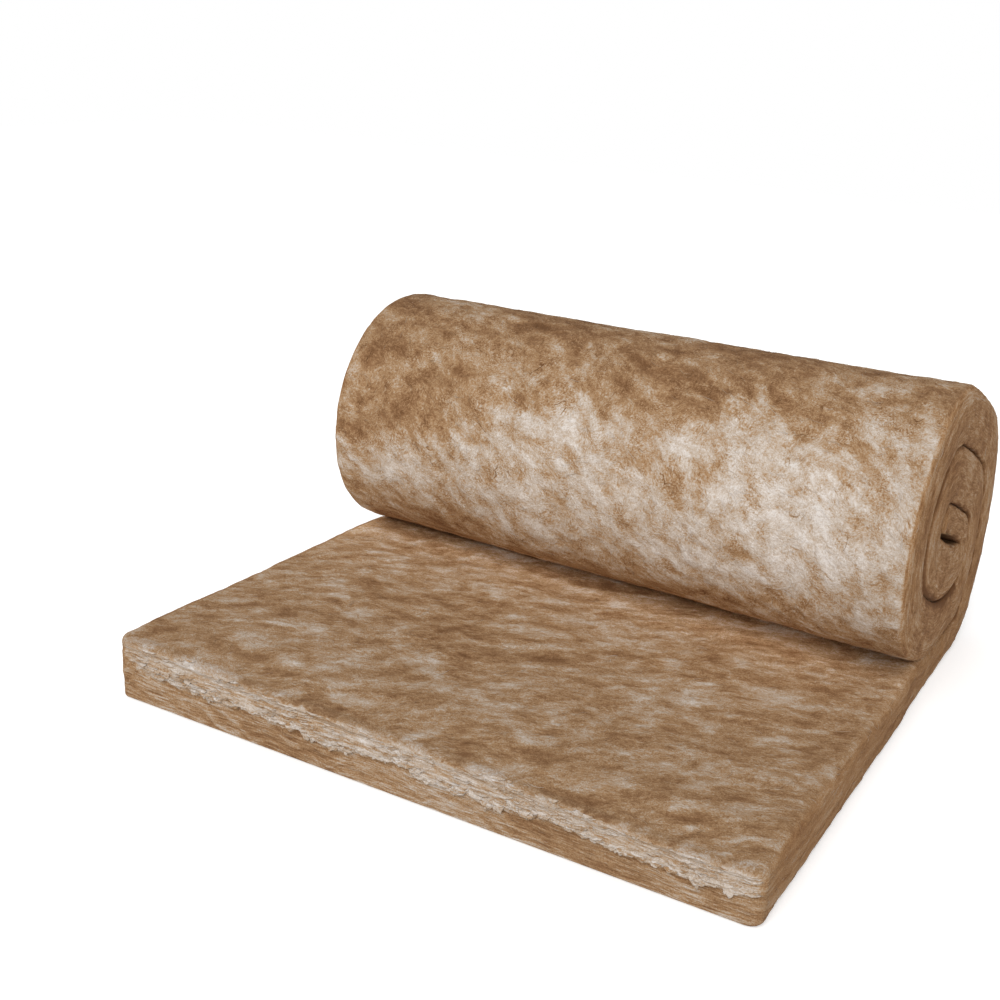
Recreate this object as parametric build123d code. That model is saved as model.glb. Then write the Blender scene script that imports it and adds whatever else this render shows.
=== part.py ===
"""A part-unrolled roll of glass mineral wool: one long blanket that lies flat on the floor
at its free end and is wound up on itself at the other.

Frame: +X across the blanket, +Y from the free end towards the roll, +Z up, millimetres.
The origin is the middle of the footprint, on the floor.
"""

from build123d import *
import math
import os

# The blanket: its width as sold, and its loft once it has recovered from the pack.
blanket_width = 1200.0
blanket_thickness = 108.0

# The flat stretch, from the free end to below the middle of the roll.
flat_stretch = 955.0
press_length = 170.0  # over which the roll's weight presses the flat stretch down
crease_depth = 100.0  # from there to where the roll rests flat on it

# The winding.
turns = 2.7  # from the floor to the inner end
seam_gap = 3.0  # between one turn and the next, where it shows on the ends
seam_depth = 30.0  # how far in from the ends the seams stay open
inner_end_thickness = 28.0  # the inner end is squeezed to a wedge beside the eye
eye_half_length = 98.0  # the collapsed bore is a slit round this flat ellipse
eye_half_height = 4.0
bore_margin = 7.0
bore_radius = 6.0  # of the slit between the two ends
bore_ease = 24.0  # depth of wool over which the turns run out into the bore
lean_angle = 21.0  # degrees that the slit and the roll slope down to the back
sag = 52.0  # how far the roll settles on its foot
foot_blend = 25.0  # height over which a turn leaves what it rests on

# Soft corners.
free_end_radius = 14.0
side_edge_chamfer = 6.0  # along every turn, so that the turns show on both ends

# The winding's faces are drawn as pairs of arcs that run on into each other. A pair spans
# between shortest_pair and longest_pair of a turn and is true within arc_tolerance.
longest_pair = 0.25
shortest_pair = 1e-3
fit_shares = (0.15, 0.3, 0.5, 0.7, 0.85)  # of the way along, where the fit is measured
arc_tolerance = 1.2
heading_step = 1e-5  # of a turn, for the way that a face runs
foot_step = 1e-6  # of a turn, for where a foot ends
level_slope = 1e-3  # a face that slopes less than this is on its foot
straight_slope = 1e-7
straight_curve = 1e-7
straight_bend = 1e-9

turn_pitch = blanket_thickness + seam_gap
outer_radius = inner_end_thickness + turn_pitch * turns
pressed = 1 - sag / outer_radius  # share of the loft that is left under the roll
lean = math.radians(lean_angle)
straight_down = -math.pi / 2


def eye_offset(angle):
    """The point of the leaning eye whose outward normal has this angle, from its middle."""
    long_part = eye_half_length * math.cos(angle + lean)
    short_part = eye_half_height * math.sin(angle + lean)
    support = math.hypot(long_part, short_part)
    along = eye_half_length * long_part / support
    across = eye_half_height * short_part / support
    return (
        along * math.cos(lean) + across * math.sin(lean),
        across * math.cos(lean) - along * math.sin(lean),
    )


centre_z = outer_radius - eye_offset(straight_down)[1] - sag


def depth_of(turn, inset):
    """Wool between the outside of the roll and this point. It ends at the bore."""
    wound = turn_pitch * turn + inset
    most = outer_radius - bore_margin
    ease = max(bore_ease - abs(most - wound), 0)
    return min(wound, most) - ease * ease / (4 * bore_ease)


def free_point(turn, inset):
    """A point of the winding before it settles. turn counts up from below the middle of the
    roll, round its back; inset 0 is the blanket's outer face, blanket_thickness its inner."""
    angle = straight_down + 2 * math.pi * turn
    radius = outer_radius - depth_of(turn, inset)
    across, up = eye_offset(angle)
    return flat_stretch + across + radius * math.cos(angle), centre_z + up + radius * math.sin(angle)


def resting_height(turn, inset):
    """What the winding lies on here: the floor, and then one pressed turn on another."""
    own_wool = depth_of(turn, inset) - turn_pitch * turn
    return pressed * (turn_pitch * math.floor(turn + 0.5) + own_wool)


def settled_point(turn, inset):
    """The same point with the turn flattened on its foot, rounded over foot_blend."""
    y, z = free_point(turn, inset)
    foot = resting_height(turn, inset)
    nearness = max(1 - abs(z - foot) / foot_blend, 0.0)
    return y, max(z, foot) + nearness * nearness * foot_blend / 4


def foot_end(turn, side, inset):
    """Where the flat foot at a whole turn ends, going on (side 1) or back (side -1)."""
    flat, lifted = 0.0, 0.25
    while lifted - flat > foot_step:
        middle = (flat + lifted) / 2
        height = free_point(turn + side * middle, inset)[1]
        if height < resting_height(turn, inset) - foot_blend:
            flat = middle
        else:
            lifted = middle
    return turn + side * flat


def face_at(turn, inset):
    """A point on one face of the settled winding, and the way the face runs there."""
    before = Vector(*settled_point(turn - heading_step, inset))
    after = Vector(*settled_point(turn + heading_step, inset))
    run = (after - before).normalized()
    if abs(run.Y) < level_slope:
        run = Vector(1, 0)
    return Vector(*settled_point(turn, inset)), run


def arc_joint(start, start_heading, end, end_heading):
    """Where two equal-handled arcs meet that join these ends without a kink."""
    chord = end - start
    both = chord.dot(start_heading + end_heading)
    bend = 2 * (1 - start_heading.dot(end_heading))
    if bend < straight_bend:
        return (start + end) / 2
    handle = (math.sqrt(both**2 + bend * chord.dot(chord)) - both) / bend
    return (start + end + (start_heading - end_heading) * handle) / 2


def off_arc(point, start, start_heading, end):
    """How far a point lies from the arc that leaves start this way and reaches end."""
    side = Vector(-start_heading.Y, start_heading.X)
    chord = end - start
    curve = 2 * side.dot(chord) / chord.dot(chord)
    if abs(curve) < straight_curve:
        return abs(side.dot(point - start))
    centre = start + side / curve
    return abs((point - centre).length - abs(1 / curve))


def draw_arc(start, start_heading, end):
    chord = end - start
    sideways = abs(start_heading.X * chord.Y - start_heading.Y * chord.X)
    if sideways < chord.length * straight_slope:
        Line(start, end)
    else:
        TangentArc(start, end, tangent=start_heading)


def winding_face(first, last, inset):
    """Draws one face of the winding, halving each stretch until its two arcs fit."""
    start, start_heading = face_at(first, inset)
    end, end_heading = face_at(last, inset)
    joint = arc_joint(start, start_heading, end, end_heading)
    fits = last - first < longest_pair
    for share in fit_shares:
        point = face_at(first + (last - first) * share, inset)[0]
        near = off_arc(point, start, start_heading, joint)
        far = off_arc(point, end, -end_heading, joint)
        fits = fits and min(near, far) < arc_tolerance
    if fits or last - first < shortest_pair:
        draw_arc(start, start_heading, joint)
        draw_arc(end, -end_heading, joint)
    else:
        winding_face(first, (first + last) / 2, inset)
        winding_face((first + last) / 2, last, inset)


def lying_outline(roll_front_foot):
    """Draws the flat stretch: from the foot of the roll's front over its top, the free end
    and the floor, to where the winding lifts off. Everything here is (Y, Z)."""
    pressed_end = settled_point(foot_end(0, 1, blanket_thickness), blanket_thickness)
    press_end = (settled_point(foot_end(1, -1, 0), 0)[0] - crease_depth, pressed_end[1])
    press_start = (press_end[0] - press_length, blanket_thickness)
    press_middle = (Vector(*press_start) + Vector(*press_end)) / 2
    Line(roll_front_foot, press_end)
    TangentArc(press_end, press_middle, tangent=(-1, 0))
    TangentArc(press_start, press_middle, tangent=(1, 0))
    FilletPolyline(
        press_start,
        (0, blanket_thickness),
        (0, 0),
        settled_point(foot_end(0, 1, 0), 0),
        radius=free_end_radius,
    )


def wound_section():
    """The blanket seen from its side, with the seams between its turns."""
    lift_off = foot_end(0, 1, 0)
    touch_down = foot_end(1, -1, 0)
    lift_again = foot_end(1, 1, 0)
    inner_lift_off = foot_end(0, 1, blanket_thickness)
    with BuildLine() as outline:
        winding_face(lift_off, touch_down, 0)
        Line(settled_point(touch_down, 0), settled_point(lift_again, 0))
        winding_face(lift_again, turns, 0)
        Line(settled_point(turns, 0), settled_point(turns, blanket_thickness))
        winding_face(inner_lift_off, turns, blanket_thickness)
        lying_outline(settled_point(inner_lift_off, blanket_thickness))
    return make_face(outline.line)


def closed_section():
    """The same with its turns tight together round the bore, as they lie between the ends."""
    touch_down = foot_end(1, -1, 0)
    roll_foot = settled_point(touch_down, 0)
    pressed_top = settled_point(foot_end(0, 1, blanket_thickness), blanket_thickness)[1]
    with BuildLine() as outline:
        winding_face(foot_end(0, 1, 0), touch_down, 0)
        Line(roll_foot, (roll_foot[0], pressed_top))
        lying_outline((roll_foot[0], pressed_top))
    bore = SlotCenterToCenter(2 * eye_half_length, 2 * bore_radius, rotation=-lean_angle)
    return make_face(outline.line) - Pos(flat_stretch, centre_z) * bore


def wool_blanket():
    wound = wound_section()
    middle = wound.bounding_box().center().X
    near_end = Plane(origin=(blanket_width / 2, -middle, 0), x_dir=(0, 1, 0), z_dir=(1, 0, 0))
    right_end = extrude(near_end * wound, -seam_depth)
    right_end = chamfer(right_end.faces().sort_by(Axis.X)[-1].edges(), side_edge_chamfer)
    left_end = mirror(right_end, Plane.YZ)
    between = near_end.offset(-seam_depth) * closed_section()
    return left_end + extrude(between, 2 * seam_depth - blanket_width) + right_end


os.makedirs("parts", exist_ok=True)
blanket = wool_blanket()
export_step(blanket, "parts/wool_blanket.step")
box = blanket.bounding_box()
print(f"wool_blanket {box.size.X:.1f} x {box.size.Y:.1f} x {box.size.Z:.1f} mm, {blanket.volume / 1e9:.4f} m3")
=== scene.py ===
"""Looks of the part-unrolled glass wool blanket: three meshes swept along the same winding
as the solid, with their own soft edges, torn fibres and material. Metres throughout, in the
model's frame: +X across the blanket, +Y towards the roll, +Z up, origin below its middle.
"""

import collections
import functools
import math

import bmesh
import bpy
import numpy as np
from mathutils import Matrix, Vector, noise
from mathutils.bvhtree import BVHTree


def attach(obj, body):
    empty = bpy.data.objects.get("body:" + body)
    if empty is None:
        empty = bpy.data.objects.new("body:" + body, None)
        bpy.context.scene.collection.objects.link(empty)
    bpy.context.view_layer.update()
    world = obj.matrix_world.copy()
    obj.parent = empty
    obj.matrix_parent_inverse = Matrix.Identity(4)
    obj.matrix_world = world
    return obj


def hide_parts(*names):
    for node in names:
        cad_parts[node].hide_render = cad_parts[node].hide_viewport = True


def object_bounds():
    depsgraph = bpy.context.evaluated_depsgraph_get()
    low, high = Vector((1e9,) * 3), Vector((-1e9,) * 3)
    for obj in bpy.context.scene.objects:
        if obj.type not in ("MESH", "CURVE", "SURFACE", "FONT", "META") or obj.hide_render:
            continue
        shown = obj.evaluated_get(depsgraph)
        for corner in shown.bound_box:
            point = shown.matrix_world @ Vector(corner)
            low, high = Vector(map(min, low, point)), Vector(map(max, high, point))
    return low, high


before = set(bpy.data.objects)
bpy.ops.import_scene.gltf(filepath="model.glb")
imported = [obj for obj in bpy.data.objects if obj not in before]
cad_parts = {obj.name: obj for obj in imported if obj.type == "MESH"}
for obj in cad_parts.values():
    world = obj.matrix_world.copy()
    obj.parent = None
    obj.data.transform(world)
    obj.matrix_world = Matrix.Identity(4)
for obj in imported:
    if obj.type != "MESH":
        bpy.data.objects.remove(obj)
cad_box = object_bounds()

NOISE_SEED = 6
noise.seed_set(NOISE_SEED)  # the swirls come out the same each time

# The blanket and its winding, as in the solid.
WIDTH = cad_box[1][0] - cad_box[0][0]
PITCH = 0.111
LOFT = 0.1095  # fills the pitch but for a hair line
FLAT_STRETCH = 0.955
TURNS = 2.7
TIP_THICKNESS = 0.028
EYE_LENGTH = 0.098
EYE_HEIGHT = 0.004
BORE_MARGIN = 0.0015
BORE_EASE = 0.024
LEAN = math.radians(21)
SAG = 0.052
FOOT_BLEND = 0.025
OUTER_RADIUS = TIP_THICKNESS + PITCH * TURNS
PRESSED = 1 - SAG / OUTER_RADIUS
FOOTPRINT_MIDDLE = -cad_box[0][1]

# How the real one differs from one end to the other.
LOFT_FRONT = (0.124, 0.100)  # left, right, at the free end
LOFT_CREASE = (0.126, 0.080)  # left, right, where the roll comes down
FOOT_DROP = (-0.008, 0.020)  # how much lower the roll's foot lies, left and right
DROP_SETS_IN = (0.0, 0.085)  # heights between which that drop sets in
DROP_FADES = (0.12, 0.36)  # and fades again
FREE_SPREAD = 0.008  # share by which the flat stretch is wider, up to where the roll rests
SPREAD_FADES = (0.70, 0.90)
CORNER_FLARE = 0.006  # how far the free end's left corner leans out at its top
FLARE_ACROSS, FLARE_ALONG = 0.20, 0.3  # and how far it reaches: a share across, metres along
ROLL_SKEW = 0.017  # the roll lies this much further back at its right end, forward at its left
SKEW_SETS_IN = (0.35, 0.85)
REST_GAP, REST_BLEND = 0.0015, 0.006  # between the flat stretch's top and the roll on it

# What the top sinks at the cut end, as shares of the loft: at the left corner, how much more
# from there on, and more again near the right.
DROOP_LEFT, DROOP_ON, DROOP_RIGHT = 0.03, 0.05, 0.06
DROOP_LENGTH = 0.11

# Radii of the long edges: the outer face is the floor side of the flat stretch.
FLAT_CORNERS = dict(outer_left=0.007, outer_right=0.013, inner_left=0.007, inner_right=0.022)
TURN_CORNERS = dict(outer_left=0.012, outer_right=0.012, inner_left=0.006, inner_right=0.006)
CORNER_WAVER, WAVER_SCALE = 0.18, 6  # share by which a radius comes and goes along the edge
MOST_CORNER = 0.42  # share of the thickness that a corner may take
SIDE_BULGE = 0.005
FLAT_BULGE = 0.2  # share of that bulge on the flat stretch

# Radii of the cut end's edges, reached over the first CUT_EDGE of the length.
CUT_EDGE = 0.012
CUT_ROUND = {"left": 0.003, "right": 0.017, "outer": 0.002, "inner": 0.008}

# The mesh. Each of the three stretches has its own fineness, coarser where it doesn't show.
CORNER_STEPS = 5
EDGE_STEPS = (0.0, 0.0010, 0.0030, 0.0065, 0.0105)
CELL, FRONT_CELL, UNDER_CELL = 0.0054, 0.0025, 0.012
FRONT_START, FRONT_LENGTH = 0.0130, 0.050  # in from the cut end, where the mesh is finest
FLAT_COLUMNS, FLAT_ROWS = 540, 36
TURN_COLUMNS, TURN_ROWS = 216, 18
COARSE_FLAT, COARSE_TURN = 54, 18  # columns skipped where nothing shows
HIDDEN_TOP = 0.93  # y from which the roll covers the flat stretch
HIDDEN_FLAT = 0.02  # in turns: where the flat stretch's mesh ends, under the roll
HIDDEN_TURN = 1.0  # where the first turn's mesh ends
SEEN_TURNS = (0.045, 0.965)  # between which a wound outer face shows


def smooth(low, high, value):
    share = np.clip((value - low) / (high - low), 0, 1)
    return share * share * (3 - 2 * share)


# The winding: the solid's own formula, for arrays.


def eye_offset(angle):
    long_part = EYE_LENGTH * np.cos(angle + LEAN)
    short_part = EYE_HEIGHT * np.sin(angle + LEAN)
    support = np.hypot(long_part, short_part)
    along = EYE_LENGTH * long_part / support
    across = EYE_HEIGHT * short_part / support
    y = along * math.cos(LEAN) + across * math.sin(LEAN)
    z = across * math.cos(LEAN) - along * math.sin(LEAN)
    return y, z


CENTRE_Z = OUTER_RADIUS - float(eye_offset(np.float64(-math.pi / 2))[1]) - SAG


def settled(turn, inset):
    """Y and Z on the winding, inset metres in from its outer face."""
    turn = np.asarray(turn, float)
    angle = -math.pi / 2 + 2 * math.pi * turn
    wound = PITCH * turn + inset
    most = OUTER_RADIUS - BORE_MARGIN
    ease = np.maximum(BORE_EASE - np.abs(most - wound), 0)
    depth = np.minimum(wound, most) - ease * ease / (4 * BORE_EASE)
    radius = OUTER_RADIUS - depth
    across, up = eye_offset(angle)
    y = FLAT_STRETCH + across + radius * np.cos(angle)
    z = CENTRE_Z + up + radius * np.sin(angle)
    foot = PRESSED * (PITCH * np.floor(turn + 0.5) + depth - PITCH * turn)
    near = np.maximum(1 - np.abs(z - foot) / FOOT_BLEND, 0)
    return y, np.maximum(z, foot) + near * near * FOOT_BLEND / 4


start_y = float(settled(0.0, 0.0)[0])
fine_turns = np.linspace(0, TURNS, 60001)
fine_path = np.stack(settled(fine_turns, LOFT / 3))
fine_run = start_y + np.concatenate([[0], np.cumsum(np.hypot(*np.diff(fine_path)))])

# The roll's lower front, from its front-most point to where it touches down.
front_turns = np.linspace(0.7, 0.96, 400)
front_y, front_z = settled(front_turns, 0.0)
front_first = int(np.argmin(front_y))
front_y, front_z = front_y[front_first:], front_z[front_first:]


def right_share(x):
    return np.clip(x / WIDTH + 0.5, 0, 1)


def drop_foot(x, z):
    """Lowers or lifts the roll's foot and what is under it."""
    drop = FOOT_DROP[0] + (FOOT_DROP[1] - FOOT_DROP[0]) * right_share(x)
    return z - drop * smooth(*DROP_SETS_IN, z) * (1 - smooth(*DROP_FADES, z))


def flat_loft(x, y):
    """Height of the flat stretch's top."""
    right = right_share(x)
    at_front = LOFT_FRONT[0] + (LOFT_FRONT[1] - LOFT_FRONT[0]) * right
    at_crease = LOFT_CREASE[0] + (LOFT_CREASE[1] - LOFT_CREASE[0]) * right
    loft = at_front + (at_crease - at_front) * smooth(0.1, 0.85, y)
    droop = DROOP_LEFT + DROOP_ON * smooth(0.05, 0.25, right)
    droop = droop + DROOP_RIGHT * smooth(0.55, 0.75, right) * (1 - smooth(0.90, 1.0, right))
    loft = loft * (1 - droop * (1 - smooth(0.0, DROOP_LENGTH, y)))
    roll_above = np.interp(y, front_y, front_z, left=9.0, right=front_z[-1])
    under = drop_foot(x, roll_above) - REST_GAP
    gap = np.clip(0.5 + 0.5 * (under - loft) / REST_BLEND, 0, 1)
    return under + (loft - under) * gap - REST_BLEND * gap * (1 - gap)


NOISE_XS = np.linspace(-0.65, 0.65, 1301)


@functools.cache
def noise_table(scale, seed):
    row = seed * 7.7
    return np.array([noise.fractal((x * scale, row, 0.0), 1.0, 2.0, 3) for x in NOISE_XS])


def noise_row(x, scale, seed):
    """Fractal noise along the blanket's width."""
    return np.interp(x, NOISE_XS, noise_table(scale, seed))


# Heights on the cut end, as shares of the loft: the torn ridge, how much higher it lies at
# either end, and its waves from long to short. Then the band of torn wool above it.
RIDGE_LEVEL, RIDGE_LEFT, RIDGE_RIGHT = 0.55, 0.13, 0.04
RIDGE_SWAY, RIDGE_RAGS, RIDGE_TEETH = 0.12, 0.055, 0.035
BAND_LEVEL, BAND_SWAY, BAND_RAGS = 0.93, 0.06, 0.04
TORN_FROM = -0.585  # the cut end's left corner isn't torn
SLOPE_BACK = (0.002, 0.014)  # at the top, where it isn't torn and how much more where it is
OVERHANG = 0.0055
FRONT_FORWARD = 0.0085  # how far the whole cut end stands forward, all this over FRONT_FADE
FRONT_FADE = 0.090


def ridge_share(x):
    """Height of the torn ridge across the cut end, as a share of the loft."""
    ragged = RIDGE_RAGS * noise_row(x, 30.0, 5) + RIDGE_TEETH * noise_row(x, 110.0, 6)
    level = RIDGE_LEVEL + RIDGE_RIGHT * smooth(0.0, 0.2, x)
    level = level + RIDGE_LEFT * (1 - smooth(TORN_FROM, -0.54, x))
    return level + RIDGE_SWAY * noise_row(x, 5.0, 4) + ragged


def band_top(x):
    """Height down to which the top's own felt runs over the edge, above the torn wool."""
    return BAND_LEVEL + BAND_SWAY * noise_row(x, 9.0, 9) + BAND_RAGS * noise_row(x, 60.0, 10)


def torn_front(x, run, share):
    """How far the cut end lies back: it stands upright up to the ridge, which hangs over a
    little, and slopes back above."""
    ridge = ridge_share(x)
    above = np.clip((share - ridge) / (1 - ridge), 0, 1)
    torn = smooth(TORN_FROM, -0.50, x)
    overhang = smooth(-0.035, 0.02, share - ridge) * torn
    back = (SLOPE_BACK[0] + SLOPE_BACK[1] * torn) * above**1.25
    back = back + OVERHANG * (1 - overhang) - FRONT_FORWARD
    return back * (1 - smooth(0.0, FRONT_FADE, run))


class Stretch:
    """One stretch of the blanket: stations along it, and a ring of points round it at each.
    steps says, for each face, how many of its points a station skips to the next."""

    def __init__(self, flat_ys, turns, columns, rows, steps):
        self.wound = np.concatenate([np.zeros(len(flat_ys), bool), np.ones(len(turns), bool)])
        self.flat_y = np.concatenate([flat_ys, np.full(len(turns), start_y)])
        self.turn = np.concatenate([np.zeros(len(flat_ys)), turns])
        self.run = np.where(self.wound, np.interp(self.turn, fine_turns, fine_run), self.flat_y)
        outer, inner = settled(self.turn, 0.0), settled(self.turn, LOFT)
        self.thick = np.where(self.wound, np.hypot(inner[0] - outer[0], inner[1] - outer[1]), LOFT)
        self.columns, self.rows = columns, rows
        self.steps = steps(self)
        self.steps["left"] = self.steps["right"] = self.steps["side"]
        self.ring = self.make_ring()
        self.number = {point: n for n, point in enumerate(self.ring)}
        places = [self.at(kind, at / self.count(kind)) for kind, at in self.ring]
        self.x, self.share = (np.stack(values, 1) for values in zip(*places))

    def count(self, kind):
        if kind in ("outer", "inner"):
            return self.columns
        if kind in ("left", "right"):
            return self.rows
        return CORNER_STEPS

    def make_ring(self):
        columns = range(self.columns + 1)
        corner = range(1, CORNER_STEPS)
        rows = range(self.rows + 1)
        ring = [("outer", j) for j in columns]
        ring += [("outer_right", a) for a in corner] + [("right", r) for r in rows]
        ring += [("inner_right", a) for a in corner[::-1]] + [("inner", j) for j in columns[::-1]]
        ring += [("inner_left", a) for a in corner] + [("left", r) for r in rows[::-1]]
        ring += [("outer_left", a) for a in corner[::-1]]
        return ring

    def corner(self, kind):
        """A long edge's radius at each station, and the same as a share of the thickness."""
        wave = np.array([noise.noise((r * WAVER_SCALE, 0.5, 0.5)) for r in self.run])
        waver = 1 + CORNER_WAVER * wave
        radius = np.where(self.wound, TURN_CORNERS[kind], FLAT_CORNERS[kind]) * waver
        radius = np.minimum(radius, self.thick * MOST_CORNER)
        return radius, radius / self.thick

    def at(self, kind, along):
        """x and depth share at every station of the ring point that lies this far along one
        face, from left to right or from the outer to the inner face, or round a corner."""
        if kind in ("outer", "inner"):
            left, right = self.corner(kind + "_left")[0], self.corner(kind + "_right")[0]
            x = (WIDTH / 2 - left) * (along - 1) + (WIDTH / 2 - right) * along
            share = np.full(len(self.run), float(kind == "inner"))
        elif kind in ("left", "right"):
            low, high = self.corner("outer_" + kind)[1], self.corner("inner_" + kind)[1]
            bulge = SIDE_BULGE * np.where(self.wound, 1.0, FLAT_BULGE) * math.sin(math.pi * along)
            x = (WIDTH / 2 + bulge) * (1 if kind == "right" else -1)
            share = low + (1 - low - high) * along
        else:
            radius, deep = self.corner(kind)
            away = math.pi / 2 * along
            x = (WIDTH / 2 - radius * (1 - math.sin(away))) * (1 if kind.endswith("right") else -1)
            share = deep * (1 - math.cos(away))
            if kind.startswith("inner"):
                share = 1 - share
        return self.rounded(x, share)

    def rounded(self, x, share):
        """The same, drawn in where the cut end's edges are rounded."""
        near = np.clip(1 - self.run / CUT_EDGE, 0, 1) * ~self.wound
        drawn = 1 - np.sqrt(1 - near**2)
        left, right = CUT_ROUND["left"] * drawn, CUT_ROUND["right"] * drawn
        low, high = CUT_ROUND["outer"] / self.thick * drawn, CUT_ROUND["inner"] / self.thick * drawn
        across = x / WIDTH + 0.5
        return x + left * (1 - across) - right * across, low + share * (1 - low - high)

    def used(self, station):
        """The ring's points that this station has, in order round the ring."""
        kept = []
        for n, (kind, at) in enumerate(self.ring):
            if kind not in self.steps or at % self.steps[kind][station] == 0:
                kept.append(n)
        return kept

    def bridge(self, first, second):
        """Faces between two rings that may differ in fineness: both walk from one ring
        position that they share to the next."""
        shared = [n for n in first if n in second]
        size = len(self.ring)
        faces = []
        for here, after in zip(shared, shared[1:] + shared[:1]):
            between = [(here + k) % size for k in range((after - here) % size + 1)]
            near = [first[n] for n in between if n in first]
            far = [second[n] for n in between if n in second]
            faces.append(near + far[::-1])
        return faces

    def cap(self, ring, points):
        """A grid over the blanket's cut end, joined to its ring. Adds the grid's points."""
        rows = [("outer_{}", a) for a in range(1, CORNER_STEPS)]
        rows += [("{}", r) for r in range(self.rows + 1)]
        rows += [("inner_{}", a) for a in range(CORNER_STEPS - 1, 0, -1)]
        grid = {}
        for k, (kind, at) in enumerate(rows):
            ends = []
            for side in ("left", "right"):
                name = kind.format(side)
                share = self.at(name, at / self.count(name))[1][0]
                bounds = [self.at(face, float(side == "right"))[0][0] for face in ("outer", "inner")]
                ends.append((bounds[0] + (bounds[1] - bounds[0]) * share, share))
            for j in range(self.columns + 1):
                t = j / self.columns
                grid[j, k] = len(points)
                points.append((0, *(a + (b - a) * t for a, b in zip(*ends))))
        last_row, last_column = len(rows) - 1, self.columns
        faces = []
        for j in range(last_column):
            for k in range(last_row):
                faces.append([grid[j, k], grid[j + 1, k], grid[j + 1, k + 1], grid[j, k + 1]])
            for kind, k in (("outer", 0), ("inner", last_row)):
                rim = [ring[self.number[kind, column]] for column in (j, j + 1)]
                faces.append([*rim, grid[j + 1, k], grid[j, k]])
        for side, j in (("left", 0), ("right", last_column)):
            edge = [ring[self.number[kind.format(side), at]] for kind, at in rows]
            for k in range(last_row):
                faces.append([edge[k], grid[j, k], grid[j, k + 1], edge[k + 1]])
            for kind, k in (("outer", 0), ("inner", last_row)):
                faces.append([ring[self.number[kind, j]], grid[j, k], edge[k]])
        return faces

    def build(self, name, cut_end):
        points, faces, rings = [], [], []
        for station in range(len(self.run)):
            used = self.used(station)
            rings.append({n: len(points) + i for i, n in enumerate(used)})
            points += [(station, self.x[station, n], self.share[station, n]) for n in used]
        for first, second in zip(rings, rings[1:]):
            faces += self.bridge(first, second)
        faces.append(list(rings[-1].values()))
        if cut_end:
            faces += self.cap(rings[0], points)
        else:
            faces.append(list(rings[0].values()))
        station, x, share = np.array(points).T
        return make_piece(name, self, faces, station.astype(int), x, share)


def place(stretch, station, x, share):
    """Points of the blanket, in the model's frame."""
    flat_y = stretch.flat_y[station]
    wound = stretch.wound[station]
    outer, inner = settled(stretch.turn[station], 0.0), settled(stretch.turn[station], LOFT)
    z = drop_foot(x, outer[1] + (inner[1] - outer[1]) * share)
    z = np.where(wound, z, share * flat_loft(x, flat_y))
    flat_y = flat_y + torn_front(x, flat_y, share)
    y = np.where(wound, outer[0] + (inner[0] - outer[0]) * share, flat_y)
    x = x * (1 + FREE_SPREAD * (1 - smooth(*SPREAD_FADES, y)) * ~wound)
    at_left = 1 - smooth(0.0, FLARE_ACROSS, right_share(x))
    at_end = (1 - smooth(0.0, FLARE_ALONG, y)) * ~wound
    x = x - CORNER_FLARE * share * at_left * at_end
    y = y + ROLL_SKEW * (x / (WIDTH / 2)) * smooth(*SKEW_SETS_IN, y)
    return np.stack([x, y - FOOTPRINT_MIDDLE, z], axis=-1)


# Relief and tone, both read from the place on the strip, so that they run on from one
# stretch to the next.


SEED_STEP = np.array([17.3, -9.1, 5.7])
CREST_SHARPNESS = 2.2


def noise_points(place_on, scale, seed):
    return (place_on * np.array(scale) + seed * SEED_STEP).tolist()


def fractal(place_on, scale, octaves, seed):
    """Fractal noise at points, with its own scale on each axis, about -1 to 1."""
    points = noise_points(place_on, scale, seed)
    return np.array([noise.fractal(p, 1.0, 2.0, octaves) for p in points])


def crests(place_on, scale, octaves, seed):
    """Sharp-crested noise, 0 in the hollows to about 1 on the crests."""
    raw = np.array([noise.fractal(p, 1.0, 2.1, octaves) for p in noise_points(place_on, scale, seed)])
    return 1 - np.abs(raw) * CREST_SHARPNESS


def wander(place_on, scale, reach, seed):
    """The places, each moved sideways by a smooth swirl."""
    shifted = place_on * scale + seed * 3.1
    moves = np.array([noise.noise_vector(p) for p in shifted.tolist()])
    return place_on + moves * reach


BRUSHED = math.radians(29)  # the wool's streaks run this far off straight across


def brushed(place_on):
    """The places, turned so that the streaks run along the first axis."""
    x, run, depth = place_on.T
    along = x * math.cos(BRUSHED) + run * math.sin(BRUSHED)
    return np.stack([along, run * math.cos(BRUSHED) - x * math.sin(BRUSHED), depth], 1)


def path_heading(stretch):
    """Which way the blanket runs at each station, as Y and Z."""
    before, after = (np.stack(settled(stretch.turn + step, LOFT / 2)) for step in (-1e-4, 1e-4))
    run = (after - before) / np.hypot(*(after - before))
    return np.where(stretch.wound, run, np.array([[1.0], [0.0]]))


CREASE_FLAT, CREASE_ROLL = 0.735, 2.83  # runs at which the roll's front meets the flat stretch


# A finished mesh and what the fibres need to know of its points.
Piece = collections.namedtuple("Piece", "thing points faces strip tone heading shown side")

CLOSING_FACE = 100  # a face with more corners than this closes a mesh across the strip


def new_mesh_object(name, points, faces, attributes):
    """A mesh in the scene, with those values at its points for the material."""
    mesh = bpy.data.meshes.new(name)
    mesh.from_pydata(points.tolist(), [], faces)
    for key, values in attributes.items():
        kind, slot = ("FLOAT_VECTOR", "vector") if values.ndim == 2 else ("FLOAT", "value")
        layer = mesh.attributes.new(key, kind, "POINT")
        layer.data.foreach_set(slot, values.astype(np.float32).ravel())
    mesh.shade_smooth()
    for face in mesh.polygons:
        if face.loop_total > CLOSING_FACE:
            for loop in face.loop_indices:
                mesh.edges[mesh.loops[loop].edge_index].use_edge_sharp = True
    thing = bpy.data.objects.new(name, mesh)
    bpy.context.scene.collection.objects.link(thing)
    return thing


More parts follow.
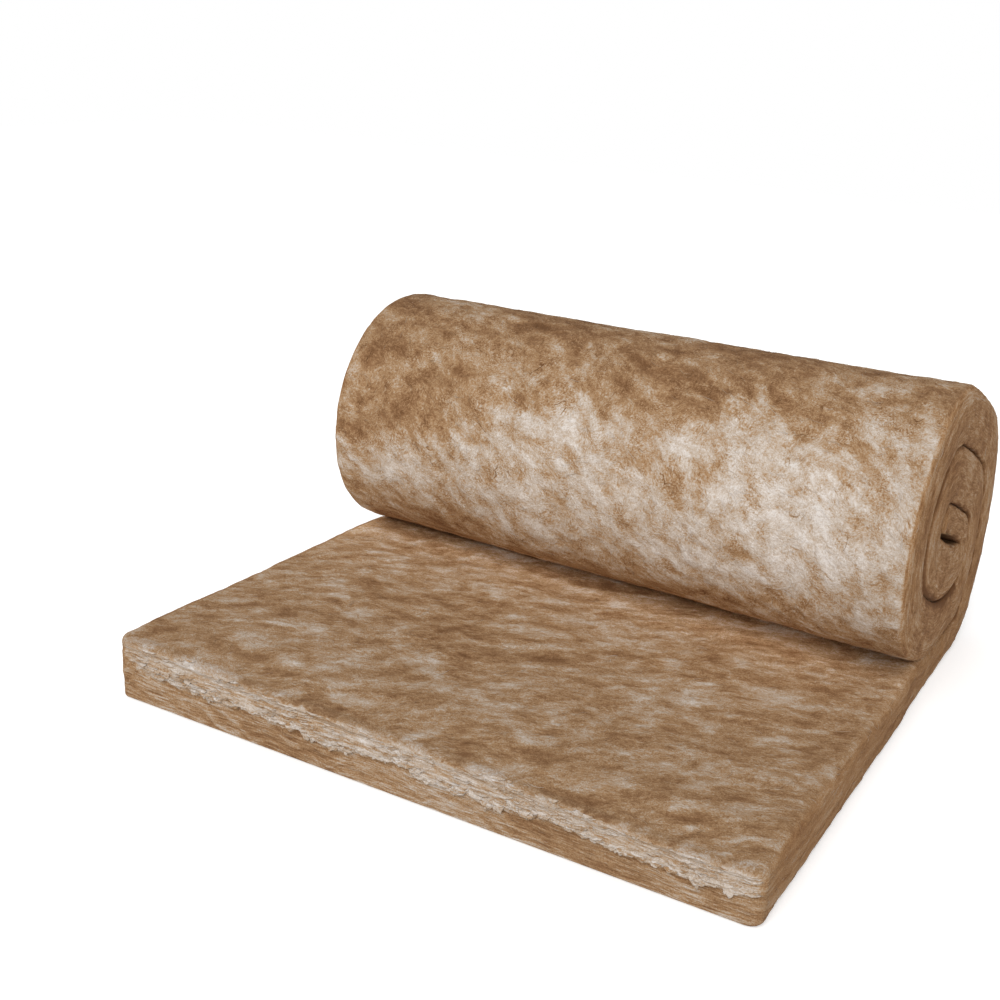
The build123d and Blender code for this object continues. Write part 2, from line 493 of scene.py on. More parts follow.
def turned_outwards(points, faces):
    """The faces, turned to look outwards, and the points' normals."""
    mesh = bpy.data.meshes.new("work")
    mesh.from_pydata(points.tolist(), [], faces)
    work = bmesh.new()
    work.from_mesh(mesh)
    bmesh.ops.recalc_face_normals(work, faces=work.faces)
    work.to_mesh(mesh)
    work.free()
    normals = np.empty(len(points) * 3)
    mesh.vertex_normals.foreach_get("vector", normals)
    faces = [list(face.vertices) for face in mesh.polygons]
    bpy.data.meshes.remove(mesh)
    return faces, normals.reshape(-1, 3)


def bell(value, middle, width):
    return np.exp(-(((value - middle) / width) ** 2))


ROLLED = (1.0, 1.4)  # runs between which the flat stretch's look turns into the roll's
SIDE_BAND = (0.012, 0.002)  # distances from an end between which its look sets in
OVER_EDGE = (0.80, 0.86)  # shares of the loft above which the top's texture runs over the edge
LARGE_SWIRL, SMALL_SWIRL = (5.0, 0.06, 1), (17.0, 0.020, 2)  # scale, reach and seed
SEAM_WIDTH, OUTER_SEAM_WIDTH = 0.007, 0.009
CREASE_REACHES = (0.090, 0.28)

# How far each kind of relief stands out.
LUMPS, TUFTS, CRUMPLE, WISPS = 0.0026, 0.0016, 0.0014, 0.0007
SIDE_LAYERS, SIDE_TUFTS = 0.0010, 0.0009
CUT_LAYERS, CUT_FLAKES, RIDGE_FLAKES = 0.0016, 0.0008, 0.0040


class Wool:
    """One mesh's points on the strip, with the masks and noises of its relief and tone."""

    def __init__(self, stretch, station, x, share):
        self.share, self.right = share, right_share(x)
        self.run, self.turn = stretch.run[station], stretch.turn[station]
        self.thick = stretch.thick[station]
        self.ridge, self.torn_top = ridge_share(x), band_top(x)
        self.rolled = smooth(*ROLLED, self.run)
        self.side = smooth(WIDTH / 2 - SIDE_BAND[0], WIDTH / 2 - SIDE_BAND[1], np.abs(x))
        self.at_front = 1 - smooth(CUT_EDGE / 2, CUT_EDGE, self.run)
        over = smooth(*OVER_EDGE, share) * self.at_front * (1 - self.side) * (1 - share) * self.thick
        self.strip = np.stack([x, self.run - over, share * self.thick + over], 1)
        self.draw_noises()
        self.mark_faces()

    def draw_noises(self):
        swirled = wander(wander(self.strip, *LARGE_SWIRL), *SMALL_SWIRL)
        streaked = brushed(swirled)
        self.blots = fractal(streaked, (3.2, 6.5, 5.0), 3, 1)
        self.wisps = fractal(streaked, (18.0, 55.0, 30.0), 3, 2)
        self.lumps = fractal(self.strip, (5.0, 5.0, 5.0), 2, 3)
        self.tufts = fractal(swirled, (17.0, 21.0, 17.0), 3, 4)
        self.crumple = crests(swirled, (20.0, 26.0, 20.0), 3, 5)
        self.layers = fractal(swirled, (6.0, 6.0, 110.0), 3, 7)
        self.flakes = fractal(swirled, (45.0, 30.0, 90.0), 3, 8)
        mottle = fractal(streaked, (11.0, 24.0, 20.0), 3, 9)
        self.mottle = mottle + (self.tufts - mottle) * 0.7 * self.rolled

    def mark_faces(self):
        """Which of the blanket's faces each point lies on, and whether that shows."""
        share, turn = self.share, self.turn
        below_top = 1 - smooth(-0.07, 0.04, share + 0.03 * self.flakes - self.torn_top)
        self.cut = (1 - smooth(0.001, CUT_EDGE / 2, self.run)) * (1 - self.side) * below_top
        self.face = (1 - self.side) * (1 - self.cut)
        self.outer, self.flat = share < 0.5, turn == 0
        self.shown = np.where(self.outer, (turn > 0.04) & (turn < 1.0), self.flat) * self.face

    def relief(self):
        """How far each point moves out along its normal."""
        soft = self.lumps * LUMPS + self.tufts * TUFTS + (self.crumple - 0.5) * CRUMPLE * self.rolled
        move = self.shown * (0.45 + 0.55 * self.rolled) * soft
        move += self.shown * self.wisps * WISPS
        move += self.side * (self.layers * SIDE_LAYERS + self.tufts * SIDE_TUFTS)
        flaky = CUT_FLAKES + RIDGE_FLAKES * bell(self.share, self.ridge, 0.12)
        off_floor = smooth(0.02, 0.20, self.share)
        return move + self.cut * off_floor * (self.layers * CUT_LAYERS + self.flakes * flaky)

    def belly(self):
        """The pale band along the roll's front, narrower and higher at the left: partly paler wool,
        partly painted light where that front faces the light.
        """
        middle = 0.765 - 0.055 * self.right
        width = 0.045 + 0.075 * smooth(0.12, 0.45, self.right)
        off = np.abs(self.turn + 0.03 * self.blots - middle) / width
        belly = (1 - smooth(0.55, 1.25, off)) * self.outer * self.rolled
        paler = 0.17 + 0.01 * smooth(0.15, 0.5, self.right)
        return belly * (paler - 0.02 * self.blots - 0.05 * self.mottle)

    def crease(self):
        """Nearness to where the roll's front meets the flat stretch, on both."""
        away = np.maximum(np.where(self.flat, CREASE_FLAT, CREASE_ROLL) - self.run, 0)
        near, far = (np.exp(-away / reach) for reach in CREASE_REACHES)
        # Painted light: how much paler the wool is made near the crease, most where the roll shades it
        # most.
        crease = np.where(self.flat, 0.36 * near + 0.19 * far, near + 0.42 * far)
        crease *= (1 - 0.5 * smooth(0.82, 1.0, self.right)) * self.face
        on_front = (self.turn > 0.5) & (self.turn < 1.0) & self.outer
        return crease * np.where(self.flat, self.share > 0.5, on_front)

    def torn_rim(self):
        """Patches along the ridge, and along the band's top, where the wool is freshly torn."""
        rim = bell(self.share - self.ridge, 0.04, 0.05)
        rim += 0.6 * bell(self.share, self.torn_top, 0.07) * self.at_front
        patches = smooth(-0.25, 0.45, self.blots + 0.6 * self.flakes + 0.3 * self.mottle)
        return rim * patches * (1 - self.rolled)

    def seams(self):
        """Nearness to the gap between two turns, 1 in it, and where that gap is widest: the ends are
        darkened there as painted shade in the gaps between the turns.
        """
        turn = self.turn
        second = (turn > 1.55) * (turn < 2.0) * self.outer
        widest = (turn > 0.55) * (turn < 1.06) + second
        away = np.minimum(self.share + 1 - smooth(0.90, 1.0, turn), 1 - self.share) * self.thick
        reach = SEAM_WIDTH + OUTER_SEAM_WIDTH * widest + 0.006 * self.flakes
        seam_shade = (1 - smooth(0.0, 1.0, away / np.maximum(reach, 0.002))) * self.side
        seam_shade *= smooth(0.01, 0.07, turn)
        seam_shade *= np.maximum(smooth(-0.45, 0.2, self.tufts), widest)
        return seam_shade, widest

    def tone(self):
        """From dark to pale, about 0.2 to 0.9."""
        rolled, turn = self.rolled, self.turn
        above_ridge = smooth(-0.10, 0.02, self.share - self.ridge + 0.05 * self.flakes)
        front_band = (1 - smooth(0.004, 0.040, self.run + 0.04 * self.mottle)) * above_ridge
        torn_rim = self.torn_rim()
        # Painted shade: darker along the top of the roll, which the light reaches less.
        painted_crest_shade = bell(turn, 0.52, 0.07) * self.outer * rolled
        tone = 0.482 + 0.018 * rolled + (0.07 + 0.08 * rolled) * self.blots
        tone += (0.15 + 0.02 * rolled) * self.mottle
        tone += 0.12 * self.wisps
        # The pale band on the roll's front is partly paler wool and partly painted light.
        tone += self.belly() - 0.07 * painted_crest_shade + 0.16 * torn_rim * front_band

        seam_shade, widest = self.seams()
        # Paler in a band along the first turn's outer edge, on the ends.
        outer_edge_band = bell(self.share, 0.12, 0.14) * smooth(0.2, 0.35, turn) * (1 - smooth(0.82, 1.0, turn))
        on_edge = 0.43 + 0.12 * self.blots + 0.11 * self.layers + 0.09 * outer_edge_band
        # Painted shade: darker in the gaps between the turns, most at the outer one.
        on_edge -= (0.26 + 0.16 * widest) * seam_shade
        on_edge += self.cut * (0.035 + 0.145 * above_ridge + 0.15 * torn_rim)
        return np.where(self.side + self.cut > 0.5, on_edge, tone)


def make_piece(name, stretch, faces, station, x, share):
    points = place(stretch, station, x, share)
    faces, normals = turned_outwards(points, faces)
    wool = Wool(stretch, station, x, share)
    moved = points + normals * wool.relief()[:, None]
    moved[:, 2] = np.maximum(moved[:, 2], 0.0)
    tone = wool.tone()
    attributes = {
        "strip": wool.strip,
        "tone": tone,
        "edge": np.maximum(0.6 * wool.side, wool.cut),
        "side": wool.side * smooth(0.0, 0.05, wool.run),
        # rim: where the top's felt runs over the cut end, for the painted shade there.
        "rim": smooth(0.84, 0.94, share) * wool.at_front * (1 - wool.side),
        # crease: nearness to the crease, for the painted light there and for the streaks low on the
        # roll.
        "crease": wool.crease(),
    }
    thing = new_mesh_object(name, moved, faces, attributes)
    seen = np.maximum(wool.shown, np.maximum(wool.side, wool.cut) * (share > 0.05))
    heading = path_heading(stretch)[:, station].T
    return Piece(thing, moved, faces, wool.strip, tone, heading, seen, wool.side)


def turns_between(first, last, cell):
    start, end = np.interp([first, last], fine_turns, fine_run)
    count = max(2, int((end - start) / cell))
    return np.interp(np.linspace(start, end, count + 1), fine_run, fine_turns)


def flat_steps(stretch):
    front = stretch.run < FRONT_LENGTH
    hidden = stretch.wound | (stretch.flat_y > HIDDEN_TOP)
    on_top = np.where(front, 1, np.where(hidden, COARSE_FLAT, 2))
    on_floor = np.where(stretch.run < CUT_EDGE, 1, COARSE_FLAT)
    return {"outer": on_floor, "inner": on_top, "side": np.where(front, 1, 2)}


def turn_steps(stretch):
    whole = np.ones(len(stretch.run), int)
    shows = (stretch.turn > SEEN_TURNS[0]) & (stretch.turn < SEEN_TURNS[1])
    on_face = np.where(shows, 1, COARSE_TURN)
    return {"outer": on_face, "inner": whole * COARSE_TURN, "side": whole}


def build_blanket():
    front_rows = np.arange(FRONT_START, FRONT_LENGTH, FRONT_CELL)
    flat_rows = np.arange(FRONT_LENGTH + 0.003, start_y - 0.003, CELL)
    flat_ys = np.concatenate([EDGE_STEPS, front_rows, flat_rows])
    under = turns_between(0, HIDDEN_FLAT, UNDER_CELL)
    first = turns_between(HIDDEN_FLAT, HIDDEN_TURN, CELL)
    others = turns_between(HIDDEN_TURN, TURNS, CELL)
    flat = Stretch(flat_ys, under, FLAT_COLUMNS, FLAT_ROWS, flat_steps)
    roll = Stretch(np.zeros(0), first, TURN_COLUMNS, TURN_ROWS, turn_steps)
    core = Stretch(np.zeros(0), others, TURN_COLUMNS, TURN_ROWS, turn_steps)
    return [
        flat.build("wool_flat", True),
        roll.build("wool_first_turn", False),
        core.build("wool_inner_turns", False),
    ]


blanket = build_blanket()


# Loose fibres lie on the wool as thin closed strands, and torn flaps hang from the cut end.

FIBRE_STEPS = 4
FINE = {"radius": 0.00026, "lengths": (0.007, 0.026), "paler": (0.03, 0.12)}
COARSE = {"radius": 0.00042, "lengths": (0.012, 0.036), "paler": (0.04, 0.14)}


class Shells:
    """Many small closed shapes, gathered for one mesh."""

    def __init__(self):
        self.points, self.faces, self.strips, self.tones, self.edges = [], [], [], [], []

    def add(self, points, faces, strips, tone, edge):
        first = len(self.points)
        self.points += points
        self.faces += [[first + v for v in face] for face in faces]
        self.strips += strips
        self.tones += [tone] * len(points)
        self.edges += [edge] * len(points)

    def build(self, name):
        points = np.array([tuple(point) for point in self.points])
        points[:, 2] = np.maximum(points[:, 2], 0.0)
        attributes = {
            "strip": np.array(self.strips),
            "tone": np.array(self.tones),
            "edge": np.array(self.edges),
        }
        return new_mesh_object(name, points, self.faces, attributes)


def walk(tree, start, along, angle, length, bend):
    """A line of points on the surface and the normals there."""
    here, normal, _, _ = tree.find_nearest(start)
    line, normals = [here], [normal]
    for _ in range(FIBRE_STEPS):
        ahead = Vector((math.cos(angle), 0, 0)) + along * math.sin(angle)
        ahead = (ahead - normal * ahead.dot(normal)).normalized()
        here, normal, _, _ = tree.find_nearest(here + ahead * (length / FIBRE_STEPS))
        line.append(here)
        normals.append(normal)
        angle += bend
    return line, normals


def strand(line, normals, radius, lift):
    """A thin three-sided strand over that line, tapered and lifted off in its middle."""
    points, faces = [], []
    for step, (at, up) in enumerate(zip(line, normals)):
        share = step / FIBRE_STEPS
        ahead = (line[min(step + 1, FIBRE_STEPS)] - line[max(step - 1, 0)]).normalized()
        across = ahead.cross(up)
        across = across if across.length > 0.1 else ahead.orthogonal()
        across.normalize()
        up = across.cross(ahead)
        here = radius * (0.35 + 0.65 * math.sin(math.pi * min(max(share, 0.08), 0.92)))
        middle = at + up * (lift * math.sin(math.pi * share) + 0.0001)
        points += [middle + across * here, middle + up * here * 1.2, middle - across * here]
    for low in range(0, 3 * FIBRE_STEPS, 3):
        for k in range(3):
            after = (k + 1) % 3
            faces.append([low + k, low + after, low + 3 + after, low + 3 + k])
    last = 3 * FIBRE_STEPS
    return points, faces + [[2, 1, 0], [last, last + 1, last + 2]]


def lay_fibres(name, piece, count, seed, radius, lengths, paler):
    """Bent strands over the faces of one piece that show."""
    draw = np.random.default_rng(seed)
    seen = [f for f in piece.faces if len(f) < 6 and min(piece.shown[v] for v in f) > 0.5]
    corners = np.array([f[:3] for f in seen])
    a, b, c = (piece.points[corners[:, k]] for k in range(3))
    area = np.linalg.norm(np.cross(b - a, c - a), axis=1)
    chosen = corners[draw.choice(len(seen), count, p=area / area.sum()), 0]
    tree = BVHTree.FromPolygons(piece.points.tolist(), piece.faces)
    fibres = Shells()
    for vertex in chosen:
        along = Vector((0, *piece.heading[vertex]))
        place_on = piece.strip[vertex]
        swirl = noise.noise(Vector(place_on) * 7.0) * 1.6 + draw.normal(0, 0.25)
        angle = math.pi / 2 + swirl * 0.25 if piece.side[vertex] > 0.5 else BRUSHED + swirl
        if place_on[1] < CUT_EDGE / 4:
            angle = swirl * 0.3
        start = Vector(piece.points[vertex] + draw.uniform(-0.002, 0.002, 3))
        line, normals = walk(tree, start, along, angle, draw.uniform(*lengths), draw.normal(0, 0.22))
        points, faces = strand(line, normals, radius, draw.uniform(0.0001, 0.0009))
        strips = [tuple(place_on)] * len(points)
        fibres.add(points, faces, strips, piece.tone[vertex] + draw.uniform(*paler), 0.0)
    return fibres.build(name)


FLAP_COLUMNS, FLAP_ROWS = 9, 4


def flap(x, share, width, height, reach, thick, seed):
    """A torn flap of wool: a thin closed sheet that leaves the cut end at its top edge and
    hangs over what is below, with a ragged lower edge."""
    sheets = []
    loft = float(flat_loft(x, 0.0))
    top = share * loft
    for layer in (0, 1):
        sheet = []
        for row in range(FLAP_ROWS + 1):
            down = row / FLAP_ROWS
            for column in range(FLAP_COLUMNS + 1):
                across = column / FLAP_COLUMNS - 0.5
                ragged = noise.fractal((across * width * 210, seed, 0.0), 1.0, 2.0, 2)
                narrow = 1 - 0.9 * abs(2 * across) ** 3
                here = x + width * across * (1 - 0.12 * down)
                sway = 0.0022 * noise.noise((here * 45, seed * 0.3, 4.0))
                z = top + sway - height * down * max(0.15, narrow + 0.55 * ragged * down)
                wave = 0.0009 * noise.noise((here * 190, z * 260, seed))
                out = 0.0012 + reach * down**1.4 * narrow - 0.0028 * (1 - down) ** 3
                out += wave - layer * thick * (1 - 0.7 * down)
                back = min(float(torn_front(here, 0.0, s)) for s in (share, z / loft))
                sheet.append((here, back - out - FOOTPRINT_MIDDLE, z))
        sheets.append(sheet)
    size = len(sheets[0])
    across_one = FLAP_COLUMNS + 1
    faces = []
    for row in range(FLAP_ROWS):
        for column in range(FLAP_COLUMNS):
            a = row * across_one + column
            quad = [a, a + across_one, a + across_one + 1, a + 1]
            faces += [quad, [size + v for v in quad[::-1]]]
    rim = [row * across_one for row in range(FLAP_ROWS + 1)]
    rim += [FLAP_ROWS * across_one + column for column in range(1, FLAP_COLUMNS + 1)]
    rim += [row * across_one + FLAP_COLUMNS for row in range(FLAP_ROWS - 1, -1, -1)]
    rim += [column for column in range(FLAP_COLUMNS - 1, 0, -1)]
    for a, b in zip(rim, rim[1:] + rim[:1]):
        faces.append([b, a, size + a, size + b])
    return sheets[0] + sheets[1], faces


def torn_flaps(name, count, seed):
    """Some flaps hang along the ridge, in clusters, and the others cling to the band above."""
    draw = np.random.default_rng(seed)
    flaps = Shells()
    for k, x in enumerate(draw.uniform(-0.565, 0.588, count)):
        crowded = 0.5 + 0.7 * noise.noise((x * 9.0, 2.5, 0.0)) + 0.25 * draw.random()
        ridge = float(ridge_share(x))
        if draw.random() < 0.45:
            if crowded < 0.35:
                continue
            share, size = ridge + 0.04 + abs(draw.normal(0, 0.035)), 0.5 + max(crowded, 0)
            width, height = draw.uniform(0.008, 0.030) * size, draw.uniform(0.002, 0.006) * size
            if draw.random() < 0.12:
                height *= 1.9
        else:
            share, size = draw.uniform(ridge + 0.06, float(band_top(x))), draw.uniform(0.4, 1.0)
            width, height = draw.uniform(0.018, 0.055) * size, draw.uniform(0.0015, 0.0040) * size
        reach, thick = draw.uniform(0.0, 0.0028) * size, draw.uniform(0.0009, 0.0018)
        points, faces = flap(x, share, width, height, reach, thick, k * 3.7)
        strips = [(px, 0.0, pz) for px, _, pz in points]
        flaps.add(points, faces, strips, draw.uniform(0.56, 0.76), 0.7)
    return flaps.build(name)


strands = [
    lay_fibres("fibres_flat", blanket[0], 2600, 11, **FINE),
    lay_fibres("fibres_roll", blanket[1], 3400, 12, **FINE),
    lay_fibres("fibres_core", blanket[2], 300, 13, **FINE),
    lay_fibres("wisps_flat", blanket[0], 150, 21, **COARSE),
    lay_fibres("wisps_roll", blanket[1], 560, 22, **COARSE),
    torn_flaps("torn_flaps", 620, 14),
]


# Materials.


class Nodes:
    """Shorthand for building one material's nodes."""

    def __init__(self, name):
        self.material = bpy.data.materials.new(name)
        self.material.use_nodes = True
        self.tree = self.material.node_tree
        self.tree.nodes.clear()
        self.out = self.add("ShaderNodeOutputMaterial")

    def add(self, kind, **settings):
        node = self.tree.nodes.new(kind)
        for key, value in settings.items():
            setattr(node, key, value)
        return node

    def link(self, source, target):
        self.tree.links.new(source, target)

    def set(self, socket, value):
        if hasattr(value, "is_output"):
            self.link(value, socket)
        else:
            socket.default_value = value

    def attribute(self, name, output="Fac"):
        return self.add("ShaderNodeAttribute", attribute_name=name).outputs[output]

    def maths(self, operation, a, b=0.0, c=0.0):
        node = self.add("ShaderNodeMath", operation=operation)
        for socket, value in zip(node.inputs, (a, b, c)):
            self.set(socket, value)
        return node.outputs[0]

    def vector(self, operation, a, b):
        node = self.add("ShaderNodeVectorMath", operation=operation)
        self.set(node.inputs[0], a)
        self.set(node.inputs[1], b)
        return node.outputs[0]

    def noise(self, place, scale, detail, roughness=0.55, output="Fac"):
        node = self.add("ShaderNodeTexNoise")
        self.link(place, node.inputs["Vector"])
        node.inputs["Scale"].default_value = scale
        node.inputs["Detail"].default_value = detail
        node.inputs["Roughness"].default_value = roughness
        return node.outputs[output]

    def ramp(self, value, stops):
        node = self.add("ShaderNodeValToRGB")
        self.link(value, node.inputs[0])
        elements = node.color_ramp.elements
        while len(elements) < len(stops):
            elements.new(0.5)
        for element, (position, colour) in zip(elements, stops):
            element.position = position
            element.color = (*colour, 1)
        return node.outputs["Color"]

    def split(self, vector, axis):
        node = self.add("ShaderNodeSeparateXYZ")
        self.link(vector, node.inputs[0])
        return node.outputs[axis]

    def scaled(self, noise_value, amount):
        return self.maths("MULTIPLY", self.maths("SUBTRACT", noise_value, 0.5), amount)

    def blend(self, share, a, b):
        node = self.add("ShaderNodeMix", data_type="FLOAT")
        for key, value in (("Factor", share), ("A", a), ("B", b)):
            self.set(node.inputs[key], value)
        return node.outputs["Result"]

    def grey(self, value, low, high):
        """0 at low to 1 at high, eased."""
        node = self.add("ShaderNodeMapRange", interpolation_type="SMOOTHSTEP")
        self.set(node.inputs["Value"], value)
        node.inputs["From Min"].default_value = low
        node.inputs["From Max"].default_value = high
        return node.outputs["Result"]

    def tinted(self, share, colour, tint):
        node = self.add("ShaderNodeMix", data_type="RGBA", blend_type="MULTIPLY")
        for key, value in (("Factor", share), ("A", colour), ("B", tint)):
            self.set(node.inputs[key], value)
        return node.outputs["Result"]


# Linear colours of the wool, from the deepest to the palest.
DEEP = (0.130, 0.062, 0.026)
DARK = (0.205, 0.107, 0.050)
MID = (0.322, 0.197, 0.102)
LIGHT = (0.434, 0.354, 0.283)
PALE = (0.604, 0.556, 0.518)
TONE_STOPS = [(0.16, DEEP), (0.33, DARK), (0.50, MID), (0.68, LIGHT), (0.90, PALE)]
SIDE_TINT = (1.02, 0.94, 0.84, 1)  # the side faces are a warmer brown
RIM_PAINTED_SHADE = (0.86, 0.88, 0.92, 1)  # painted shade: the top's felt is made darker where it runs over the cut end, which faces the light
CREASE_PAINTED_LIGHT = (2.75, 2.8, 2.8, 1)  # painted light: the wool is made paler near the crease, where the roll shades it
BUMP_STRENGTH, BUMP_DISTANCE = 0.7, 0.005


def wool_material():
    n = Nodes("glass_wool")
    # The place on the strip, bent by two noises and turned so that the streaks run along X.
    place_on = n.attribute("strip", "Vector")
    edge = n.attribute("edge")
    bent = place_on
    for scale, detail, reach in ((8, 1, (0.05, 0.05, 0.02)), (34, 2, (0.012, 0.012, 0.003))):
        bend = n.noise(place_on, scale, detail, output="Color")
        bend = n.vector("SUBTRACT", bend, (0.5, 0.5, 0.5))
        bent = n.vector("ADD", bent, n.vector("MULTIPLY", bend, reach))
    turned = n.add("ShaderNodeVectorRotate", rotation_type="Z_AXIS")
    n.link(bent, turned.inputs["Vector"])
    turned.inputs["Angle"].default_value = -BRUSHED
    streaked = turned.outputs[0]
    rolled = n.grey(n.split(place_on, 1), *ROLLED)

    # The noises of the faces and of the cut edges.
    drawn_out = n.add("ShaderNodeCombineXYZ")
    n.link(n.maths("MULTIPLY_ADD", rolled, 0.35, 0.52), drawn_out.inputs["X"])
    drawn_out.inputs["Y"].default_value = 1.0
    drawn_out.inputs["Z"].default_value = 1.0
    strokes = n.noise(n.vector("MULTIPLY", streaked, drawn_out.outputs[0]), 195, 4, 0.78)
    patches = n.noise(n.vector("MULTIPLY", streaked, (0.55, 1.0, 1.0)), 36, 5, 0.62)
    grain = n.noise(n.vector("MULTIPLY", bent, (0.8, 1.0, 1.0)), 430, 2, 0.8)
    clusters = n.noise(bent, 24, 3, 0.60)
    specks = n.noise(bent, 330, 3, 0.8)
    flecks = n.noise(n.vector("MULTIPLY", streaked, (0.6, 1.0, 1.0)), 85, 3, 0.65)
    drawn = n.noise(n.vector("MULTIPLY", bent, (0.16, 1.0, 1.0)), 150, 3, 0.7)
    layers = n.noise(n.vector("MULTIPLY", bent, (0.09, 0.09, 1.0)), 330, 3, 0.62)
    seams = n.noise(n.vector("MULTIPLY", bent, (0.08, 0.08, 1.0)), 95, 2, 0.5)

    # The tone: what the points say, and those noises.
    crease = n.attribute("crease")
    on_face = n.maths("MULTIPLY_ADD", n.maths("SUBTRACT", strokes, 0.5), 0.55, n.scaled(patches, 0.50))
    speckled = n.maths("MULTIPLY", n.grey(clusters, 0.46, 0.62), rolled)
    dark_specks = n.maths("MULTIPLY", n.grey(specks, 0.40, 0.62), speckled)
    on_face = n.maths("MULTIPLY_ADD", dark_specks, -0.20, on_face)
    on_face = n.maths("ADD", on_face, n.scaled(flecks, 0.24))
    drawn_low = n.maths("MULTIPLY", n.scaled(drawn, 1.2), n.maths("MULTIPLY", crease, rolled))
    on_face = n.maths("ADD", on_face, drawn_low)
    on_edge = n.maths("MULTIPLY_ADD", n.maths("SUBTRACT", layers, 0.5), 0.90, n.scaled(seams, 0.30))
    side = n.attribute("side")
    plainer = n.maths("MULTIPLY_ADD", rolled, 0.85, -0.60)
    strength = n.maths("MULTIPLY_ADD", side, plainer, 1.0)
    detail = n.maths("MULTIPLY", n.blend(edge, on_face, on_edge), strength)
    tone = n.maths("ADD", detail, n.attribute("tone"))
    tone = n.maths("MULTIPLY_ADD", n.maths("SUBTRACT", grain, 0.5), 0.62, tone)

    # Fine dark cracks in patches of the roll.
    crack_place = n.noise(bent, 19, 2, 0.5)
    apart = n.maths("ABSOLUTE", n.maths("SUBTRACT", crack_place, 0.5))
    crack = n.maths("SUBTRACT", 1.0, n.grey(apart, 0.003, 0.014))
    crack = n.maths("MULTIPLY", crack, n.grey(n.noise(place_on, 12, 2), 0.63, 0.68))
    crack = n.maths("MULTIPLY", crack, n.maths("MULTIPLY", rolled, n.maths("SUBTRACT", 1.0, edge)))
    tone = n.maths("MULTIPLY_ADD", crack, -0.22, tone)

    colour = n.ramp(tone, TONE_STOPS)
    colour = n.tinted(side, colour, SIDE_TINT)
    # Painted light: paler near the crease, against the shade of the roll there.
    colour = n.tinted(crease, colour, CREASE_PAINTED_LIGHT)
    # Painted shade: darker where the top's felt runs over the cut end, which faces the light.
    colour = n.tinted(n.attribute("rim"), colour, RIM_PAINTED_SHADE)

    height = n.maths("MULTIPLY_ADD", grain, 0.30, n.blend(edge, strokes, layers))
    height = n.maths("MULTIPLY_ADD", patches, n.maths("MULTIPLY_ADD", rolled, 0.9, 0.3), height)
    height = n.maths("MULTIPLY_ADD", crack, -0.5, height)
    bump = n.add("ShaderNodeBump")
    bump.inputs["Strength"].default_value = BUMP_STRENGTH
    bump.inputs["Distance"].default_value = BUMP_DISTANCE
    n.link(height, bump.inputs["Height"])
    shader = n.add("ShaderNodeBsdfPrincipled")
    n.link(colour, shader.inputs["Base Color"])
    n.link(bump.outputs["Normal"], shader.inputs["Normal"])
    shader.inputs["Roughness"].default_value = 0.95
    shader.inputs["Specular IOR Level"].default_value = 0.1
    n.link(shader.outputs[0], n.out.inputs[0])
    return n.material


wool = wool_material()
for piece in blanket:
    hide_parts("wool_blanket")
for thing in [piece.thing for piece in blanket] + strands:
    thing.data.materials.append(wool)
    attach(thing, "root")


# Floor, light and camera.


def looked_at(tree):
    """1 for what the camera sees, straight, in mirrors and through glass."""
    path = tree.nodes.new("ShaderNodeLightPath")
    seen = path.outputs["Is Camera Ray"]
    for ray in ("Is Glossy Ray", "Is Transmission Ray"):
        either = tree.nodes.new("ShaderNodeMath")
        either.operation = "MAXIMUM"
        tree.links.new(seen, either.inputs[0])
        tree.links.new(path.outputs[ray], either.inputs[1])
        seen = either.outputs[0]
    return seen


def white_stage(name, grey, glow):
    """A floor that looks white to the camera and is still darker where it is shaded."""
    n = Nodes(name)
    diffuse = n.add("ShaderNodeBsdfDiffuse")
    diffuse.inputs["Color"].default_value = (grey, grey, grey, 1)
    shine = n.add("ShaderNodeEmission")
    shine.inputs["Strength"].default_value = glow
    seen = n.add("ShaderNodeMixShader")
    both = n.add("ShaderNodeAddShader")
    n.link(diffuse.outputs[0], both.inputs[0])
    n.link(shine.outputs[0], both.inputs[1])
    n.link(looked_at(n.tree), seen.inputs[0])
    n.link(diffuse.outputs[0], seen.inputs[1])
    n.link(both.outputs[0], seen.inputs[2])
    n.link(seen.outputs[0], n.out.inputs[0])
    return n.material


FLOOR_REACH, FLOOR_Z = 9, -0.0005
FLOOR_GREY, FLOOR_GLOW = 0.88, 0.30
SKY_STRENGTH = 0.68

floor_mesh = bpy.data.meshes.new("floor")
quarters = ((-1, -1), (1, -1), (1, 1), (-1, 1))
floor_corners = [(FLOOR_REACH * x, FLOOR_REACH * y, 0) for x, y in quarters]
floor_mesh.from_pydata(floor_corners, [], [(0, 1, 2, 3)])
floor = bpy.data.objects.new("floor", floor_mesh)
floor.location.z = FLOOR_Z
bpy.context.scene.collection.objects.link(floor)
floor_mesh.materials.append(white_stage("pale_floor", FLOOR_GREY, FLOOR_GLOW))

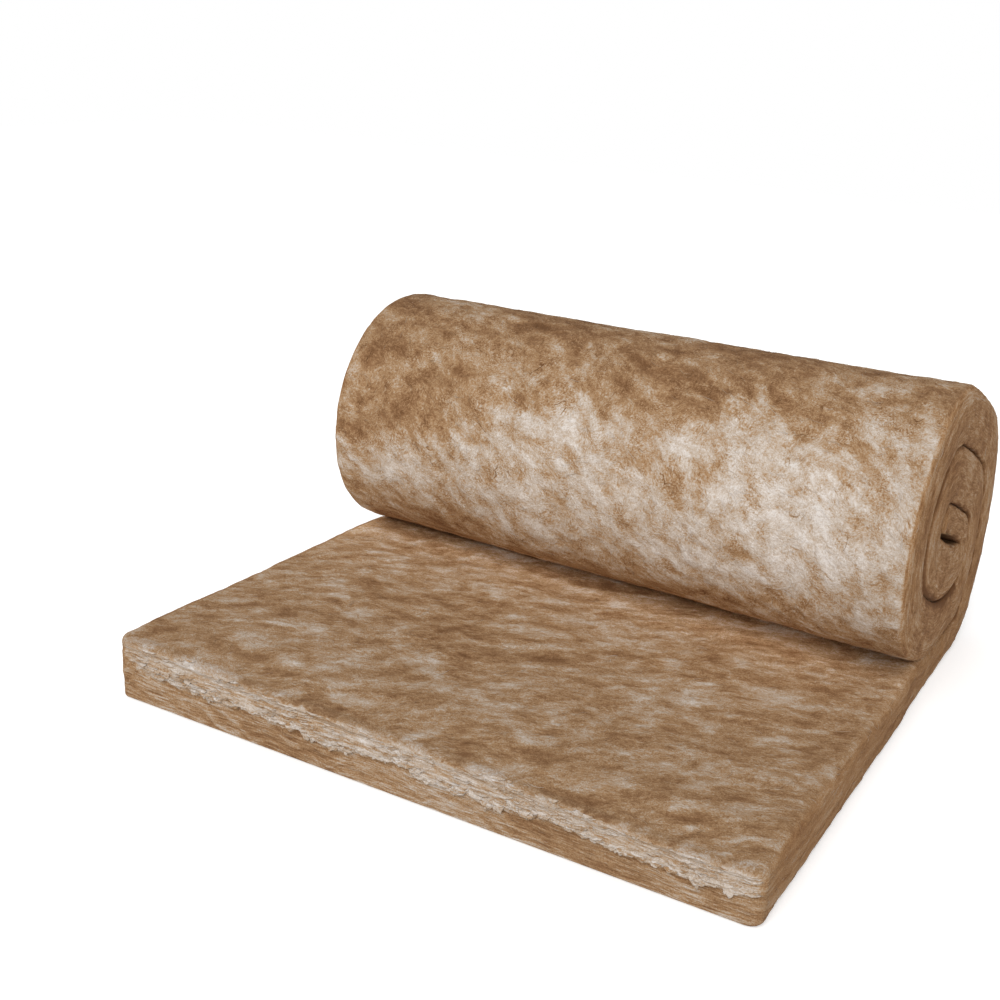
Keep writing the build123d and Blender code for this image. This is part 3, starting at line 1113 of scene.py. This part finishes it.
world = bpy.data.worlds.new("studio")
bpy.context.scene.world = world
world.use_nodes = True
nodes = world.node_tree.nodes
links = world.node_tree.links
background = nodes["Background"]
camera_background = nodes.new("ShaderNodeBackground")
for shader, strength in ((background, SKY_STRENGTH), (camera_background, 1.0)):
    shader.inputs["Color"].default_value = (1, 1, 1, 1)
    shader.inputs["Strength"].default_value = strength
switch = nodes.new("ShaderNodeMixShader")
links.new(looked_at(world.node_tree), switch.inputs[0])
links.new(background.outputs[0], switch.inputs[1])
links.new(camera_background.outputs[0], switch.inputs[2])
links.new(switch.outputs[0], nodes["World Output"].inputs[0])

SUN_FROM = Vector((0.10, -0.79, 0.61))
SUN_STRENGTH, SUN_ANGLE = 2.1, math.radians(40)
sun_data = bpy.data.lights.new("soft_sun", "SUN")
sun_data.energy = SUN_STRENGTH
sun_data.angle = SUN_ANGLE
sun = bpy.data.objects.new("soft_sun", sun_data)
sun.rotation_mode = "QUATERNION"
sun.rotation_quaternion = SUN_FROM.to_track_quat("Z", "Y")
bpy.context.scene.collection.objects.link(sun)

CAMERA_PLACE = (1.067, -2.3705, 1.205)
CAMERA_FOCAL = 1415 / 1000  # in frame widths
SENSOR_WIDTH = 36
CAMERA_YAW, CAMERA_PITCH, CAMERA_ROLL = (math.radians(a) for a in (28.69, 18.91, 3.81))
camera_data = bpy.data.cameras.new("camera")
camera_data.sensor_width = SENSOR_WIDTH
camera_data.lens = SENSOR_WIDTH * CAMERA_FOCAL
camera = bpy.data.objects.new("camera", camera_data)
level, down = math.cos(CAMERA_PITCH), math.sin(CAMERA_PITCH)
across, along = math.cos(CAMERA_YAW), math.sin(CAMERA_YAW)
forward = Vector((-along * level, across * level, -down))
right = Vector((across, along, 0))
up = right.cross(forward)
tilted_right = math.cos(CAMERA_ROLL) * right + math.sin(CAMERA_ROLL) * up
tilted_up = -math.sin(CAMERA_ROLL) * right + math.cos(CAMERA_ROLL) * up
turn = Matrix((tilted_right, tilted_up, -forward)).transposed()
camera.matrix_world = Matrix.Translation(CAMERA_PLACE) @ turn.to_4x4()
bpy.context.scene.collection.objects.link(camera)
bpy.context.scene.camera = camera
bpy.context.scene.view_settings.view_transform = "Standard"
